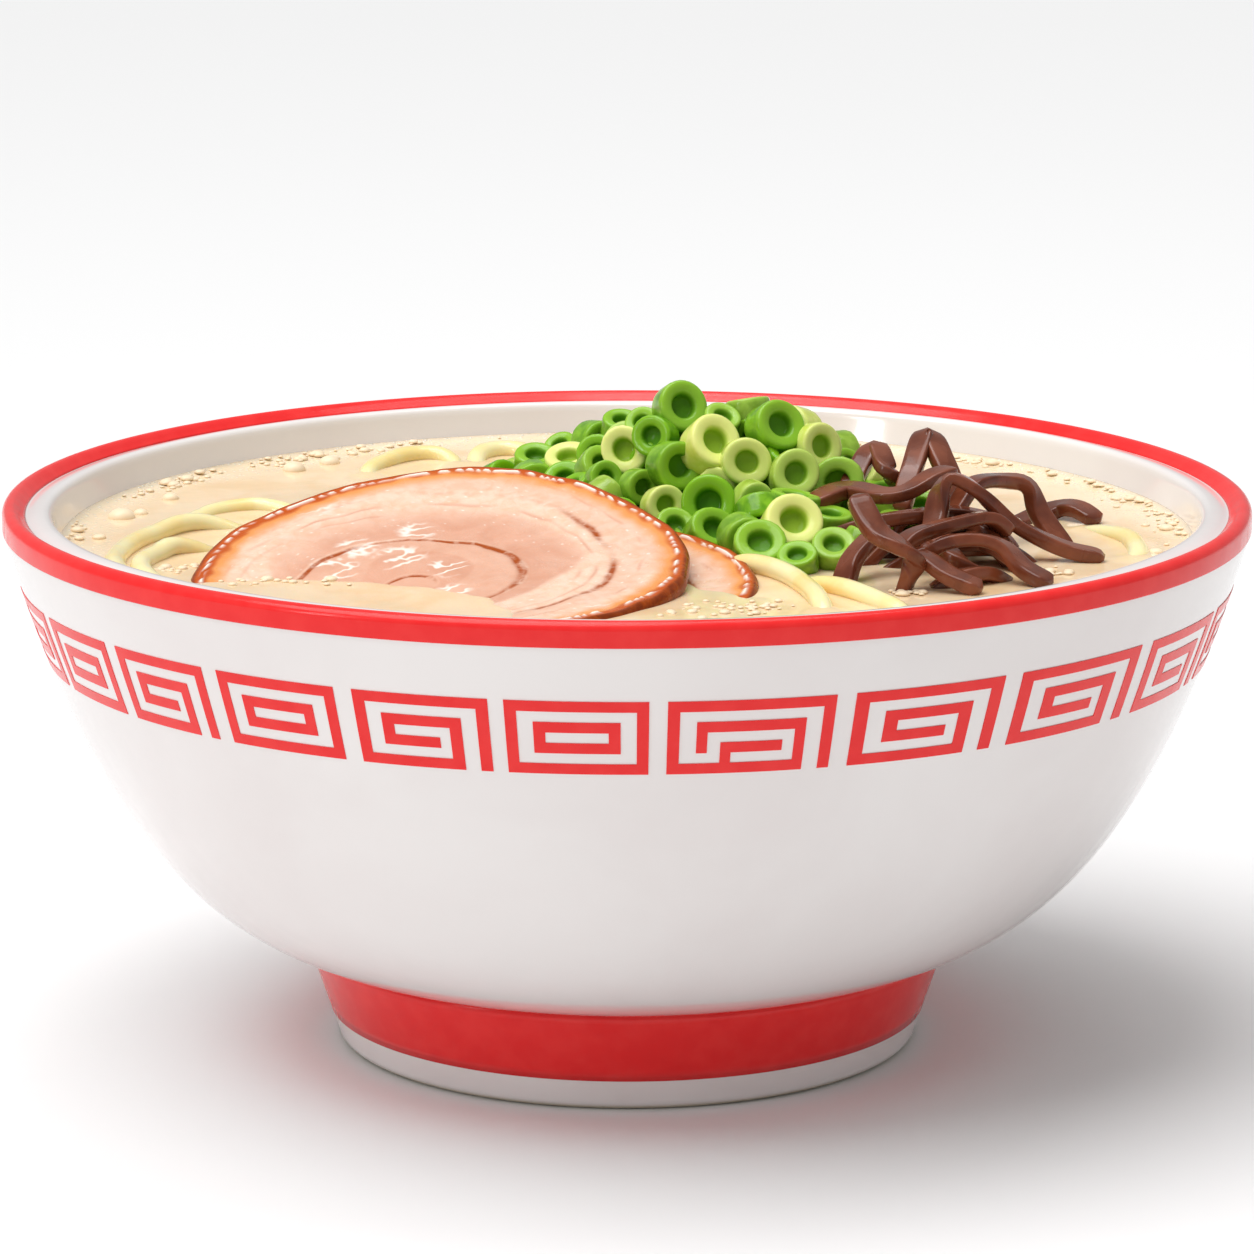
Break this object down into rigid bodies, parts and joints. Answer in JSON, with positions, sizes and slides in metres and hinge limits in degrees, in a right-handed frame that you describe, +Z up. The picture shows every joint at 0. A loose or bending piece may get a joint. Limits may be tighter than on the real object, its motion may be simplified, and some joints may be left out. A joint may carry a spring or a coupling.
{
  "type": "ramen bowl",
  "caption": "Footed white ceramic bowl with red rim and key pattern, filled with ramen: creamy broth, noodles, rolled pork, spring onion and black mushroom.",
  "frame": {"origin": "centre of the foot ring, on the surface that the bowl stands on", "axes": "+Z up, -Y towards the diner, +X to the diner's right"},
  "size_m": [0.21, 0.21, 0.1102],
  "materials": {
    "glazed_bowl": "white gloss glaze with a red rim, red foot and raised red key pattern",
    "broth": "creamy opaque broth with a wet sheen, fine foam and drops of fat",
    "noodles": "wet pale yellow wheat noodle",
    "pork": "moist cooked pork, pale fat and pink lean in a spiral, brown edge",
    "spring_onion": "fresh wet leaf, dark green outside and pale inside",
    "mushroom": "wet dark brown"
  },
  "bodies": {
    "root": {"bowl": "glazed_bowl", "broth": "broth", "noodles": "noodles", "pork_slice_upper": "pork", "pork_slice_lower": "pork", "spring_onion": "spring_onion", "mushroom": "mushroom"}
  },
  "joints": []
}
